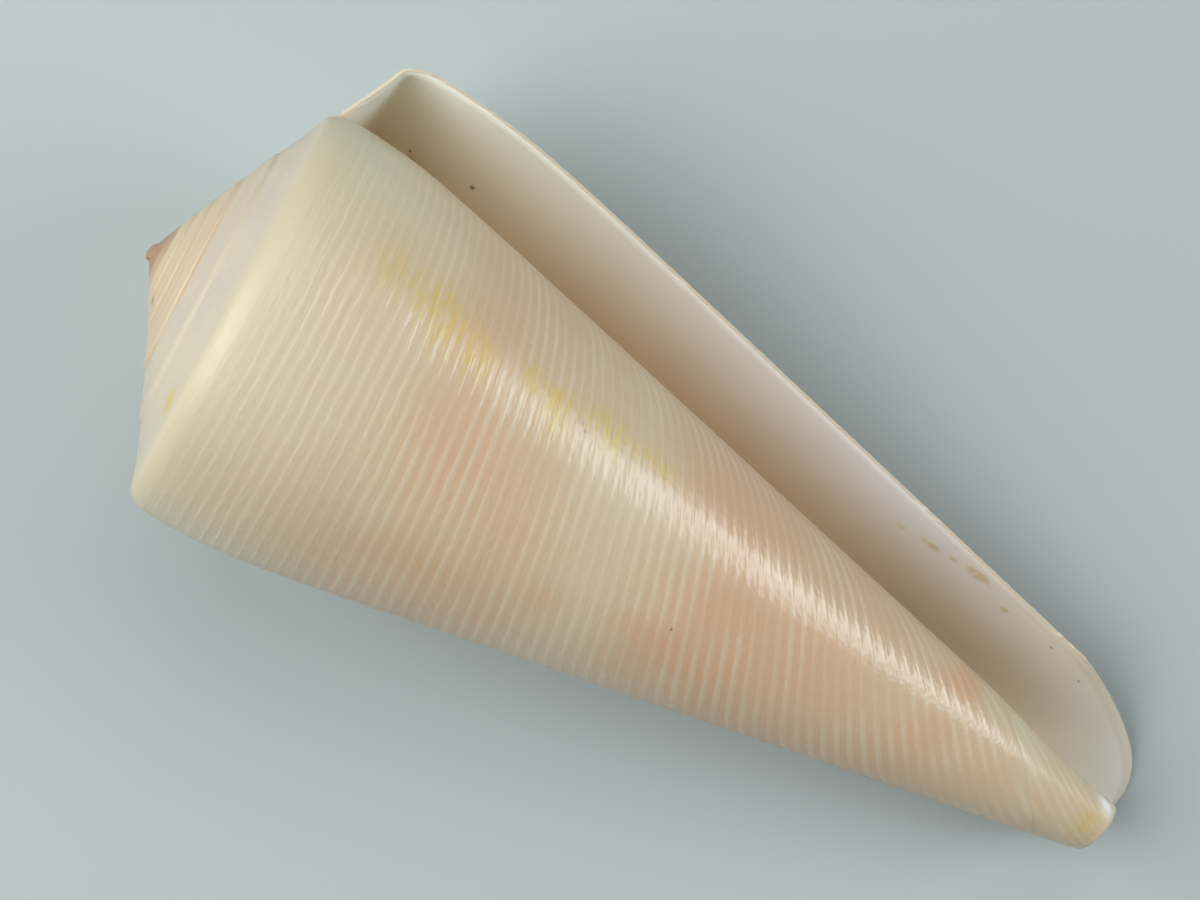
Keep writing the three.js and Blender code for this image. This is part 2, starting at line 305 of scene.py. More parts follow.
class Sheet:
    """Collects the corner points and faces of the shell as lines are joined.

    A point is known by its turn, and by its place on the outline at the lip before the
    growth of that turn. A corner is a point with the growth coordinates that its face
    has there: the turn of its growth line, the length along the outline, and 0 for the
    outside or 1 for the inside.
    """

    def __init__(self, form, rows):
        self.rows = rows
        self.growth = form.whorl_growth
        self.lip = form.lip_thickness / MM
        self.tip = -SPIRE_TURNS * STEPS
        self.cavity = -round(form.cavity_turns * STEPS)
        self.known = {}
        self.points = []
        self.faces = []
        self.marks = []

    def point(self, name, turn, distance, radius, thread=0.0, relief=0.0):
        if name not in self.known:
            self.known[name] = len(self.points)
            self.points.append((turn, distance, radius, thread, relief))
        return self.known[name]

    def fixed(self, name, turn, distance, radius):
        """A point given by its real distance and radius in the finished shell."""
        scale = self.growth**turn
        return self.point(name, turn, distance / scale, radius / scale)

    def outside(self, step, row, inside=0):
        rows = self.rows
        distance, radius, behind, along, relief = rows.line(step)[:, row]
        mark = (step / STEPS, along, inside)
        if row == 0 and step - STEPS >= self.tip:
            return (self.outside(step - STEPS, rows.shoulder)[0], *mark)
        turn = step / STEPS - behind / 360
        fade_out = max(0, 1 + min(0, (step + STEPS) / FADE_STEPS))
        name = ("out", step, row)
        index = self.point(name, turn, distance, radius, rows.thread[row], fade_out * relief)
        return (index, *mark)

    def wall(self, step):
        behind = -step / STEPS * TURN
        bevel = EDGE_BEVEL * (1 - math.exp(-behind / BEVEL_ANGLE))
        return self.lip + bevel + WALL_THICKENING * (1 - math.exp(-behind / THICKENING_ANGLE))

    def inside(self, step, row):
        rows = self.rows
        mark = (step / STEPS, rows.along[row], 1)
        if row == 0:
            return (self.outside(step - STEPS, rows.foot)[0], step / STEPS, 0, 1)
        back = rows.behind[row] / 360
        swept = self.growth**-back
        full = self.wall(step) / swept
        name = ("in", step, row)
        if row == rows.last:
            foot = rows.distance[row] - WALL_FOOT * full
            return (self.point(name, step / STEPS - back, foot, rows.radius[row]), *mark)
        taper = min(1, (rows.margin_end - rows.behind[row]) / WALL_TAPER)
        distance = rows.distance[row] - full * (rows.out_distance[row] * taper + 1 - taper)
        slimmest = rows.radius[rows.last] * self.growth ** (back - rows.margin_end / 360)
        radius = max(rows.radius[row] - full * rows.out_radius[row] * taper, slimmest)
        return (self.point(name, step / STEPS - back, distance, radius), *mark)

    def brim(self, row):
        """A point on the rounded edge of the lip, halfway through the wall."""
        rows = self.rows
        if row == rows.last:
            return self.outside(0, row)
        back = rows.behind[row] / 360
        half = self.wall(0) / 2 * self.growth**back
        ahead = BRIM_BULGE * self.wall(0) / (TURN * rows.radius[row])
        distance = rows.distance[row] - half * rows.out_distance[row]
        radius = rows.radius[row] - half * rows.out_radius[row]
        name = ("brim", row)
        index = self.point(name, ahead - back, distance, radius, rows.thread[row], 1)
        return (index, 0, rows.along[row], 0.5)

    def face(self, *corners):
        """Adds a face, without the corners that fall on one point. Faces point outwards."""
        kept = [c for k, c in enumerate(corners) if c[0] != corners[k - 1][0]]
        if len(kept) > 2:
            self.faces.append([c[0] for c in reversed(kept)])
            self.marks.extend(c[1:] for c in reversed(kept))

    def strip(self, line, following):
        for k in range(len(line) - 1):
            self.face(line[k], line[k + 1], following[k + 1], following[k])

    def fan(self, hub, line):
        for k in range(len(line) - 1):
            self.face(hub, line[k], line[k + 1])

    def stitch(self, line, places, following, following_places):
        """Joins two lines that have their points at different places."""
        i = j = 0
        while i < len(line) - 1 or j < len(following) - 1:
            ahead = j == len(following) - 1
            if ahead or (i < len(line) - 1 and places[i + 1] <= following_places[j + 1]):
                self.face(line[i], line[i + 1], following[j])
                i += 1
            else:
                self.face(line[i], following[j + 1], following[j])
                j += 1

    def columella(self, step):
        """Points down the columella, from the sheet of one whorl to that of the next."""
        rows = self.rows
        back = rows.margin_end / 360
        turn = step / STEPS - back
        start = (rows.distance[-1], rows.radius[-1])
        before = self.growth ** (turn - 1)
        now = self.growth ** (min(step, 0) / STEPS - back)
        foot = rows.distance[-1] - WALL_FOOT * self.wall(min(step, 0)) * self.growth**back
        foot += (rows.distance[-1] - foot) * max(step, 0) / STEPS
        line = [(self.outside(step - STEPS, rows.last)[0], step / STEPS, 0, 1)]
        if step == STEPS:
            return line
        for ring in range(1, COLUMELLA_RINGS + 2):
            part = ring / (COLUMELLA_RINGS + 1)
            if part == 1 and step <= 0:
                line.append(self.inside(step, rows.last))
                break
            distance = start[0] * before * (1 - part) + foot * now * part
            radius = start[1] * (before * (1 - part) + now * part)
            index = self.fixed(("columella", step, ring), turn, distance, radius)
            line.append((index, step / STEPS, 0, 1))
        return line

    def add_outside(self):
        rows = self.rows
        ramp = range(rows.shoulder + 1)
        for step in range(self.tip, 0):
            self.strip(*([self.outside(s, row) for row in ramp] for s in (step, step + 1)))
        side = range(rows.shoulder, rows.last + 1)
        for step in range(-STEPS, 0):
            self.strip(*([self.outside(s, row) for row in side] for s in (step, step + 1)))

    def add_inside(self):
        rows = self.rows
        first = self.cavity - STEPS
        for step in range(first, -STEPS - 1):
            lines = ([self.outside(s, row, 1) for row in rows.coarse] for s in (step, step + 1))
            self.strip(*lines)
        fine = list(range(rows.foot, rows.last + 1))
        step = -STEPS - 1
        self.stitch(
            [self.outside(step, row, 1) for row in rows.coarse], rows.coarse,
            [self.outside(step + 1, row, 1) for row in fine], fine,
        )
        for step in range(0, self.cavity, -1):
            self.strip(*([self.inside(s, row) for row in (0, *rows.inner)] for s in (step, step - 1)))

    def add_columella(self):
        rows = self.rows
        for step in range(self.cavity, STEPS - 1):
            self.strip(self.columella(step), self.columella(step + 1))
        end = self.outside(0, rows.last)
        self.fan(end, self.columella(STEPS - 1))
        tip_at = rows.distance[-1] * self.growth ** (-rows.margin_end / 360) + COLUMELLA_TIP
        tip = (self.fixed("columella tip", 0, tip_at, 0), 0, 0, 1)
        ends = [self.columella(step)[-1] for step in range(STEPS - 1, -1, -1)]
        self.fan(tip, [end, *ends, end])

    def add_lip(self):
        rows = self.rows
        fine = list(range(1, rows.last + 1))
        brim = [self.brim(row) for row in fine]
        self.strip([self.outside(0, row) for row in fine], brim)
        self.stitch(brim, fine, [self.inside(0, row) for row in rows.inner], rows.inner)
        wall = [self.outside(-STEPS, row) for row in range(rows.foot, rows.shoulder - 1, -1)]
        self.fan(brim[0], [self.inside(0, rows.inner[0]), *wall, self.outside(0, 1)])

    def add_cavity_end(self):
        rows = self.rows
        step = self.cavity
        ramp = [row for row in rows.inner if row <= rows.foot]
        self.fan(self.outside(step - STEPS, rows.foot, 1), [self.inside(step, row) for row in ramp])
        side = rows.coarse[:-1]
        self.strip(
            [self.inside(step, row) for row in side],
            [self.outside(step - STEPS, row, 1) for row in side],
        )
        last = self.inside(step, side[-1])
        self.fan(last, [*reversed(self.columella(step)), self.outside(step - STEPS, side[-1], 1)])

    def add_apex(self):
        """The first whorl, a small nipple on the tip of the spire."""
        rows = self.rows
        line = [self.outside(self.tip + k, 0) for k in range(STEPS + 1)]
        for ring, (distance, radius) in enumerate(NIPPLE):
            following = []
            for k in range(STEPS + 1):
                turn = (self.tip + k % STEPS) / STEPS
                index = self.fixed(("nipple", ring, k % STEPS), turn, distance, radius)
                following.append((index, turn, 0, 0))
            if ring == 0:
                ramp = range(rows.shoulder, -1, -1)
                self.fan(following[0], [self.outside(self.tip, row) for row in ramp])
            self.strip(line, following)
            line = following
        tip = self.fixed("nipple tip", -SPIRE_TURNS, NIPPLE_TIP, 0)
        self.fan((tip, -SPIRE_TURNS, 0, 0), line)

    def to_mesh(self):
        """The sheet as a mesh that holds its places in attributes, not yet wound."""
        for part in (
            self.add_outside, self.add_inside, self.add_columella, self.add_lip,
            self.add_cavity_end, self.add_apex,
        ):
            part()
        mesh = bpy.data.meshes.new("sheet")
        mesh.from_pydata([(0, 0, 0)] * len(self.points), [], self.faces)
        columns = zip(("turn", "distance", "radius", "thread", "relief"), zip(*self.points))
        for name, values in columns:
            mesh.attributes.new(name, "FLOAT", "POINT").data.foreach_set("value", values)
        marks = mesh.attributes.new("growth", "FLOAT_VECTOR", "CORNER")
        marks.data.foreach_set("vector", np.array(self.marks, np.float32).ravel())
        return mesh


# Sockets of a Mix node that mixes colours. The others are for numbers and vectors.
MIX_PART, MIX_FIRST, MIX_SECOND, MIX_RESULT = 0, 6, 7, 2


class Graph:
    """Builds a node tree, one short call for each node."""

    def __init__(self, tree):
        self.tree = tree

    def add(self, kind, *inputs, **settings):
        """A node with its inputs in order. Each input is a socket, a value or None."""
        node = self.tree.nodes.new(kind)
        for name, value in settings.items():
            setattr(node, name, value)
        open_sockets = [socket for socket in node.inputs if socket.enabled]
        for socket, value in zip(open_sockets, inputs):
            self.give(socket, value)
        return node

    def give(self, socket, value):
        if isinstance(value, bpy.types.NodeSocket):
            self.tree.links.new(value, socket)
        elif value is not None:
            socket.default_value = value

    def math(self, operation, first, second=None, third=None):
        node = self.add("ShaderNodeMath", operation=operation)
        for socket, value in zip(node.inputs, (first, second, third)):
            self.give(socket, value)
        return node.outputs[0]

    def times(self, *factors):
        """The product of two or more values."""
        product, *rest = factors
        for factor in rest:
            product = self.math("MULTIPLY", product, factor)
        return product

    def vector(self, operation, first, second=None, third=None):
        node = self.add("ShaderNodeVectorMath", operation=operation)
        for socket, value in zip(node.inputs, (first, second, third)):
            self.give(socket, value)
        return node.outputs["Value" if operation == "DOT_PRODUCT" else 0]

    def combine(self, x, y, z):
        return self.add("ShaderNodeCombineXYZ", x, y, z).outputs[0]

    def separate(self, vector):
        return self.add("ShaderNodeSeparateXYZ", vector).outputs

    def remap(self, value, low, high, to_low=0.0, to_high=1.0):
        """A smooth change from one value to another as the given value goes from low to high."""
        node = self.add("ShaderNodeMapRange", interpolation_type="SMOOTHSTEP")
        for socket, given in zip(node.inputs, (value, low, high, to_low, to_high)):
            self.give(socket, given)
        return node.outputs[0]

    def mix(self, part, first, second):
        """The first colour, with so large a part of the second over it."""
        node = self.add("ShaderNodeMix", data_type="RGBA")
        for place, value in ((MIX_PART, part), (MIX_FIRST, first), (MIX_SECOND, second)):
            if isinstance(value, Color):
                value = (*value, 1)
            self.give(node.inputs[place], value)
        return node.outputs[MIX_RESULT]

    def noise(self, vector, scale=1.0, detail=0.0, roughness=0.5, w=None):
        """Noise from 0 to 1, about 0.5."""
        node = self.add("ShaderNodeTexNoise", noise_dimensions="3D" if w is None else "4D")
        given = {"Vector": vector, "Scale": scale, "Detail": detail, "Roughness": roughness}
        if w is not None:
            given["W"] = w
        for name, value in given.items():
            self.give(node.inputs[name], value)
        return node.outputs[0]


# What the winding rule takes, besides the outline: name, kind and a first value.
WINDING_INPUTS = (
    ("Whorl growth", "NodeSocketFloat", 1.43),
    ("Thread height", "NodeSocketFloat", 0.05),
    ("Thread width", "NodeSocketFloat", 0.13),
    ("Thread waver", "NodeSocketFloat", 0.16),
    ("Growth relief", "NodeSocketFloat", 0.05),
    ("Spire tilt", "NodeSocketFloat", 0.035),
    ("Tip drift", "NodeSocketFloat", 0.9),
    ("Rest pitch", "NodeSocketFloat", math.radians(10)),
    ("Axis start", "NodeSocketVector", (0, 0, 0)),
    ("Seed", "NodeSocketFloat", 0.0),
    ("Finish", "NodeSocketMaterial", None),
)
SPIRE_TILT_DEPTH = 7
TIP_DRIFT_DEPTH = 1.6
# Noise in the winding: waves for each turn, waves for each thread, a seed and its detail.
WAVER = (34.0, 0.22, 0.0, 2.0)
FOLDS = (26.0, 0.05, 3.0, 3.0)
WAVER_CALMS = (4.0, 26.0)  # threads between which the waver dies down
CALM_WAVER = 0.25  # what is left of it
BAND_BULGE = 0.7  # rise of a band over one spacing, as a part of the height of a thread


def winding_tree():
    """Winds the sheet into a shell, raises its threads and lays it on its back."""
    tree = bpy.data.node_groups.new("Wind the shell", "GeometryNodeTree")
    tree.interface.new_socket("Geometry", in_out="INPUT", socket_type="NodeSocketGeometry")
    for name, kind, value in WINDING_INPUTS:
        socket = tree.interface.new_socket(name, in_out="INPUT", socket_type=kind)
        if value is not None:
            socket.default_value = value
    tree.interface.new_socket("Geometry", in_out="OUTPUT", socket_type="NodeSocketGeometry")

    g = Graph(tree)
    given = g.add("NodeGroupInput").outputs

    def attribute(name):
        node = g.add("GeometryNodeInputNamedAttribute", data_type="FLOAT")
        node.inputs["Name"].default_value = name
        return node.outputs["Attribute"]

    turn, relief, thread = attribute("turn"), attribute("relief"), attribute("thread")
    scale = g.math("POWER", given["Whorl growth"], turn)
    angle = g.times(turn, TURN)
    distance = g.times(attribute("distance"), scale)
    radius = g.times(attribute("radius"), scale)

    # The tip drifts off the axis and the spire is tilted a little towards the lip.
    depth = g.math("MAXIMUM", distance, 0.0)
    drift = g.math("EXPONENT", g.math("DIVIDE", depth, -TIP_DRIFT_DEPTH))
    drift = g.times(drift, given["Tip drift"])
    x = g.math("SUBTRACT", g.times(radius, g.math("COSINE", angle)), drift)
    y = g.times(radius, g.math("SINE", angle))
    fade = g.math("POWER", g.math("DIVIDE", g.math("ABSOLUTE", distance), SPIRE_TILT_DEPTH), 4.0)
    fade = g.math("EXPONENT", g.times(fade, -1.0))
    z = g.math("SUBTRACT", distance, g.times(fade, given["Spire tilt"], x))

    def uneven(turns, threads, seed, detail):
        """Noise from -0.5 to 0.5."""
        place = g.combine(g.times(turn, turns), g.times(thread, threads), seed)
        return g.math("SUBTRACT", g.noise(place, detail=detail, w=given["Seed"]), 0.5)

    # Threads waver along the axis, most of all near the shoulder.
    wander = g.times(uneven(*WAVER), 2.0, g.remap(thread, *WAVER_CALMS, 1.0, CALM_WAVER))
    waver = g.times(wander, given["Thread waver"], relief)
    z = g.math("ADD", z, g.times(waver, scale))
    wound = g.add("GeometryNodeSetPosition", given["Geometry"], None, g.combine(x, y, z))

    # A thread is a narrow ridge between broad bands that bulge a little.
    phase = g.math("SUBTRACT", g.math("FRACT", g.math("ADD", thread, 0.5)), 0.5)
    ridge = g.math("POWER", g.math("DIVIDE", g.math("ABSOLUTE", phase), given["Thread width"]), 2.0)
    ridge = g.math("EXPONENT", g.times(ridge, -1.0))
    band = g.times(g.math("ABSOLUTE", phase), BAND_BULGE)
    profile = g.times(g.math("ADD", ridge, band), given["Thread height"])
    folds = g.times(uneven(*FOLDS), given["Growth relief"])
    height = g.times(g.math("ADD", profile, folds), relief, scale)
    normal = g.add("GeometryNodeInputNormal").outputs[0]
    raised = g.vector("MULTIPLY", normal, g.combine(height, height, height))
    threaded = g.add("GeometryNodeSetPosition", wound.outputs[0], None, None, raised)

    # Laid on its back, with the base a little lower than the apex.
    x, y, z = g.separate(g.add("GeometryNodeInputPosition").outputs[0])
    cosine, sine = (g.math(kind, given["Rest pitch"]) for kind in ("COSINE", "SINE"))
    forward = g.math("ADD", g.times(z, cosine), g.times(y, sine))
    upward = g.math("SUBTRACT", g.times(y, cosine), g.times(z, sine))
    metres = g.vector("MULTIPLY", g.combine(forward, x, upward), (MM, MM, MM))
    placed = g.vector("ADD", metres, given["Axis start"])
    above = g.vector("MAXIMUM", placed, (-1.0, -1.0, 0.0))
    laid = g.add("GeometryNodeSetPosition", threaded.outputs[0], None, above)

    smooth = g.add("GeometryNodeSetShadeSmooth", laid.outputs[0])
    real = g.add("GeometryNodeRealizeInstances", smooth.outputs[0])
    finished = g.add("GeometryNodeSetMaterial", real.outputs[0], None, given["Finish"])
    g.add("NodeGroupOutput", finished.outputs[0])
    return tree


def made_plain(mesh, name, tree, values):
    """Runs a mesh through a geometry tree and returns the result as a plain object."""
    source = bpy.data.objects.new(name + "_source", mesh)
    bpy.context.scene.collection.objects.link(source)
    modifier = source.modifiers.new("Shape", "NODES")
    modifier.node_group = tree
    for socket in tree.interface.items_tree:
        if socket.in_out == "INPUT" and socket.name in values:
            modifier[socket.identifier] = values[socket.name]
    bpy.context.view_layer.update()
    shaped = source.evaluated_get(bpy.context.evaluated_depsgraph_get())
    piece = bpy.data.objects.new(name, bpy.data.meshes.new_from_object(shaped))
    bpy.data.objects.remove(source)
    bpy.data.meshes.remove(mesh)
    bpy.context.scene.collection.objects.link(piece)
    return piece


# How much blush there is down the body: length along the outline and amount.
BLUSH = (
    (5, 0.0), (9, 0.1), (15, 0.33), (24, 0.7), (33, 0.72), (40, 0.45), (52, 1.0), (60, 0.88),
    (80, 0.75), (87, 0.3),
)
BLUSH_LENGTH = 90
# Where the look of the outside changes: from one place to another, as lengths along the
# outline or as turns. Turns are counted back from the lip.
BODY_LENGTHS = (5.0, 6.6)
FLUSH_LENGTHS = (5.0, 11.0)
STRIPE_LENGTHS = (6.5, 10.0)
RIM_LENGTHS = (2.2, 5.2)
RIM_TURNS = (-1.2, -0.98)
EARLY_TURNS = (-1.6, -2.3)
SEAM_LENGTHS = (1.2, 0.1)
SEAM_TURNS = (-1.4, -1.65)
NIPPLE_TURNS = (-5.2, -6.1)
NEAR_LIP_TURNS = (-0.02, -0.004)
# The same for the inside, for the gloss and for the fine wrinkles.
MIST_LENGTHS = (40.0, 8.0)
# Turns behind the lip over which the inside goes over to its painted shade deep inside.
DEEP_SHADE_TURNS = (-0.025, -0.16)
BAND_LENGTHS = (46.0, 68.0)
BAND_TURNS = (-0.03, -0.006)
DULL_LENGTHS = (10.0, 6.0)
CALM_LENGTHS = (72.0, 92.0)
# The side goes from 0 outside to 1 inside, through the thin edge of the lip.
INSIDE_SIDES = (0.3, 0.9)
CALM_SIDES = (0.0, 0.6)
# The stripe of a thread, from its edge to its middle, as a part of the spacing.
STRIPE = (0.34, 0.08)

# How much each layer shows at most, or how far it changes what it acts on.
CLOUDS_SHOW = 0.9
STREAKS_SHOW = 0.35
STRIPES_SHOW = (0.1, 0.36)
STAINS_SHOW = 0.85
BODY_SPECKS_SHOW = 0.8
LIP_SPECKS_SHOW = 0.85
LIP_STAINS_SHOW = 0.6
SPIRE_CLOUDS_SHOW = 0.5
RIM_SHOWS = (0.15, 0.7)
EARLY_CREAM_LOST = 0.8
STRIAE_SHOW = (0.1, 0.25)  # everywhere on the spire, and more on the early whorls
EARLY_SEAM_LOST = 0.5
SEAM_SHOWS = 0.55
BROWN_SHOWS = 0.85
LIP_SHOWS = 0.8
BAND_LEAST = 0.75
EDGE_SHOWS = 0.7
SHORT_OVER_LONG = 1.5  # height of the short wrinkles over that of the long ones
CALM_INSIDE = 0.15
CALM_BASE = 0.45
SPIRE_DULLNESS = 0.13
STREAK_DULLNESS = 0.1

# Marks: turn, length along the outline, half width in turns, half length, strength.
BODY_STAINS = (
    (-0.824, 15.5, 0.018, 2.4, 0.7), (-0.814, 19.4, 0.020, 1.5, 1.4), (-0.808, 22.8, 0.018, 2.0, 1.2),
    (-0.816, 28.6, 0.012, 1.1, 1.4), (-0.806, 31.4, 0.022, 1.2, 1.4), (-0.818, 36.5, 0.018, 3.0, 1.0),
    (-0.820, 42.0, 0.012, 2.0, 0.9), (-0.790, 24.6, 0.006, 0.7, 0.7), (-0.060, 91.5, 0.05, 3.0, 0.8),
)
WARM_PATCHES = (
    (-0.626, 28.0, 0.022, 3.0, 0.3), (-0.647, 36.5, 0.016, 2.2, 0.3), (-0.659, 47.0, 0.02, 3.0, 0.3),
    (-0.730, 78.4, 0.03, 3.0, 0.7),
)
BODY_SPECKS = (
    (-0.677, 47.4, 0.0018, 0.1, 1.0), (-0.8095, 33.9, 0.0028, 0.12, 0.5),
    (-0.8045, 34.3, 0.0016, 0.16, 0.4),
)
PAINTED_GLINT = ((-0.03, 97.0, 0.03, 1.6, 0.9),)  # a painted highlight: a white glint on the very base
SHOULDER_STAINS = ((-0.650, 3.6, 0.0085, 0.55, 1.4),)
SPIRE_CHIPS = ((-3.605, 1.6, 0.011, 1.2, 1.0),)
LIP_STAINS = (
    (-0.020, 57.4, 0.008, 0.9, 1.3), (-0.041, 54.1, 0.006, 0.7, 0.9), (-0.030, 55.6, 0.005, 0.4, 0.8),
    (-0.038, 61.2, 0.005, 0.4, 0.8), (-0.10, 9.6, 0.006, 0.5, 0.9), (-0.052, 52.0, 0.005, 0.4, 0.5),
)
LIP_SPECKS = (
    (-0.088, 14.0, 0.0018, 0.15, 1.0), (-0.093, 9.0, 0.0012, 0.1, 1.0),
    (-0.028, 65.3, 0.0015, 0.13, 1.0), (-0.026, 69.4, 0.0015, 0.13, 1.0),
)

# Noise on the surface: waves for each turn, waves down the outline and a seed.
CLOUDS = (6.0, 0.07, 1.0)
STREAKS = (46.0, 0.05, 2.0)
THREAD_PATCHES = (9.0, 0.2, 3.0)
STAIN_BREAKS = (34.0, 2.4, 5.0)
SPIRE_STRIAE = (5.0, 2.6, 6.0)
SEAM_PATCHES = (10.0, 0.3, 7.0)
# The wrinkles count their waves down the side by threads instead.
LONG_WRINKLES = (24.0, 4.0, 8.0)
SHORT_WRINKLES = (110.0, 2.6, 9.0)
# Noise that doesn't follow the growth: waves for each metre.
SPIRE_CLOUDS = 260.0
LIP_BREAKS = 1500.0


class Glaze(Graph):
    """Paints the shell by its growth: the turn, the length along the outline and the side."""

    def __init__(self, tree, finish):
        super().__init__(tree)
        self.finish = finish
        self.growth = self.attribute("growth", "Vector")
        self.turn, self.along, self.side = self.separate(self.growth)
        self.thread = self.attribute("thread", "Fac")
        self.place = self.add("ShaderNodeTexCoord").outputs["Object"]
        self.streaks = self.waves(STREAKS, detail=2.0, roughness=0.6)

    def attribute(self, name, output):
        node = self.add("ShaderNodeAttribute", attribute_type="GEOMETRY")
        node.attribute_name = name
        return node.outputs[output]

    def waves(self, spacing, by_thread=False, **settings):
        """Noise that follows the growth, from its waves and its seed."""
        turns, lengths, seed = spacing
        down = self.times(self.thread if by_thread else self.along, lengths)
        return self.noise(self.combine(self.times(self.turn, turns), down, seed), **settings)

    def blots(self, marks):
        """Soft round marks, each at its strength in its middle and 0 outside."""
        total = 0.0
        for at_turn, at_length, half_turn, half_length, strength in marks:
            scale = (1 / half_turn, 1 / half_length, 0)
            shift = (-at_turn / half_turn, -at_length / half_length, 0)
            away = self.vector("MULTIPLY_ADD", self.growth, scale, shift)
            blot = self.math("POWER", math.exp(-1), self.vector("DOT_PRODUCT", away, away))
            total = self.math("MULTIPLY_ADD", blot, strength, total)
        return total

    def at_most(self, value, most):
        return self.math("MINIMUM", value, most)

    def flush(self):
        """How far the body is flushed, with clouds and with streaks along the growth lines."""
        ramp = self.add("ShaderNodeValToRGB", self.math("DIVIDE", self.along, BLUSH_LENGTH))
        elements = ramp.color_ramp.elements
        while len(elements) < len(BLUSH):
            elements.new(0.5)
        for element, (length, amount) in zip(elements, BLUSH):
            element.position = length / BLUSH_LENGTH
            element.color = (amount, amount, amount, 1)
        clouds = self.math("SUBTRACT", self.waves(CLOUDS, detail=1.0), 0.5)
        streaks = self.math("SUBTRACT", self.streaks, 0.5)
        flush = self.math("MULTIPLY_ADD", clouds, CLOUDS_SHOW, ramp.outputs[0])
        flush = self.math("MULTIPLY_ADD", streaks, STREAKS_SHOW, flush)
        flush = self.times(flush, self.remap(self.along, *FLUSH_LENGTHS))
        return self.math("MAXIMUM", flush, 0.0)

    def thread_stripes(self):
        """How pale the threads are. They are paler than the bands between them, but unevenly."""
        phase = self.math("FRACT", self.math("ADD", self.thread, 0.5))
        phase = self.math("ABSOLUTE", self.math("SUBTRACT", phase, 0.5))
        uneven = self.remap(self.waves(THREAD_PATCHES), 0.35, 0.65, *STRIPES_SHOW)
        below_spire = self.remap(self.along, *STRIPE_LENGTHS)
        return self.times(self.remap(phase, *STRIPE), uneven, below_spire)

    def body(self):
        """Cream flushed with peach, with pale threads, yellow stains, dark specks and a painted
        highlight on the base.
        """
        finish = self.finish
        body = self.mix(self.flush(), finish.cream, finish.blush)
        body = self.mix(self.blots(WARM_PATCHES), body, finish.apricot)
        body = self.mix(self.thread_stripes(), body, finish.pale_thread)
        broken = self.remap(self.waves(STAIN_BREAKS, detail=1.0), 0.4, 0.62, 0.2, 1.0)
        stains = self.times(self.blots(BODY_STAINS), broken)
        body = self.mix(self.at_most(stains, STAINS_SHOW), body, finish.ochre)
        # Painted highlight: a white glint painted on the very base.
        body = self.mix(self.blots(PAINTED_GLINT), body, finish.porcelain_and_glint)
        specks = self.at_most(self.blots(BODY_SPECKS), BODY_SPECKS_SHOW)
        return self.mix(specks, body, finish.mark)

    def spire(self):
        """Cloudy on the last turn, peach and striate before it, rusty along the seam."""
        finish, turn, along = self.finish, self.turn, self.along
        early = self.remap(turn, *EARLY_TURNS)
        spire = self.mix(early, finish.lilac, finish.early_whorls)

        cloud = self.remap(self.noise(self.place, SPIRE_CLOUDS, detail=1.0), 0.35, 0.65)
        rim = self.times(self.remap(along, *RIM_LENGTHS), self.remap(turn, *RIM_TURNS, *RIM_SHOWS))
        creamy = self.math("MAXIMUM", self.times(cloud, SPIRE_CLOUDS_SHOW), rim)
        creamy = self.times(creamy, self.math("MULTIPLY_ADD", early, -EARLY_CREAM_LOST, 1.0))
        spire = self.mix(creamy, spire, finish.cream)

        striae = self.remap(self.waves(SPIRE_STRIAE), 0.45, 0.62)
        everywhere, more_early = STRIAE_SHOW
        striae = self.times(striae, self.math("MULTIPLY_ADD", early, more_early, everywhere))
        spire = self.mix(striae, spire, finish.pale_thread)

        seam = self.times(self.remap(along, *SEAM_LENGTHS), self.remap(turn, *SEAM_TURNS))
        seam = self.times(seam, self.math("MULTIPLY_ADD", early, -EARLY_SEAM_LOST, 1.0))
        patchy = self.remap(self.waves(SEAM_PATCHES, detail=1.0), 0.3, 0.6, 0.25, 1.0)
        spire = self.mix(self.times(seam, patchy, SEAM_SHOWS), spire, finish.suture)

        stains = self.at_most(self.blots(SHOULDER_STAINS), STAINS_SHOW)
        spire = self.mix(stains, spire, finish.ochre)
        brown = self.math("MAXIMUM", self.remap(turn, *NIPPLE_TURNS), self.blots(SPIRE_CHIPS))
        return self.mix(self.times(brown, BROWN_SHOWS), spire, finish.nipple)

    def outside(self):
        """The spire and the body, with the horny beige of the lip at the growing edge."""
        outside = self.mix(self.remap(self.along, *BODY_LENGTHS), self.spire(), self.body())
        near_lip = self.times(self.remap(self.turn, *NEAR_LIP_TURNS), LIP_SHOWS)
        return self.mix(near_lip, outside, self.finish.lip)

    def inside(self):
        """White by the lip, grey-green towards the spire, warm brown deep inside: partly its own
        peach, partly painted shade.
        """
        finish, turn, along = self.finish, self.turn, self.along
        inside = self.mix(self.remap(along, *MIST_LENGTHS), finish.porcelain_and_glint, finish.mist)
        # Painted shade: deep behind the lip the inside turns warm brown, partly its own peach.
        inside = self.mix(self.remap(turn, *DEEP_SHADE_TURNS), inside, finish.deep_peach_and_shade)
        band = self.math("MAXIMUM", self.remap(turn, *BAND_TURNS), BAND_LEAST)
        band = self.times(band, self.remap(along, *BAND_LENGTHS), LIP_SHOWS)
        inside = self.mix(band, inside, finish.lip)
        broken = self.remap(self.noise(self.place, LIP_BREAKS), 0.4, 0.6, 0.3, 1.0)
        stains = self.times(self.blots(LIP_STAINS), broken)
        inside = self.mix(self.at_most(stains, LIP_STAINS_SHOW), inside, finish.ochre)
        specks = self.at_most(self.blots(LIP_SPECKS), LIP_SPECKS_SHOW)
        return self.mix(specks, inside, finish.mark)

    def colour(self):
        """The outside and the inside, with the thin edge of the lip between them."""
        both = self.mix(self.remap(self.side, *INSIDE_SIDES), self.outside(), self.inside())
        edge = self.math("ABSOLUTE", self.math("MULTIPLY_ADD", self.side, 2.0, -1.0))
        edge = self.remap(self.math("SUBTRACT", 1.0, edge), *INSIDE_SIDES)
        return self.mix(self.times(edge, EDGE_SHOWS), both, self.finish.lip)

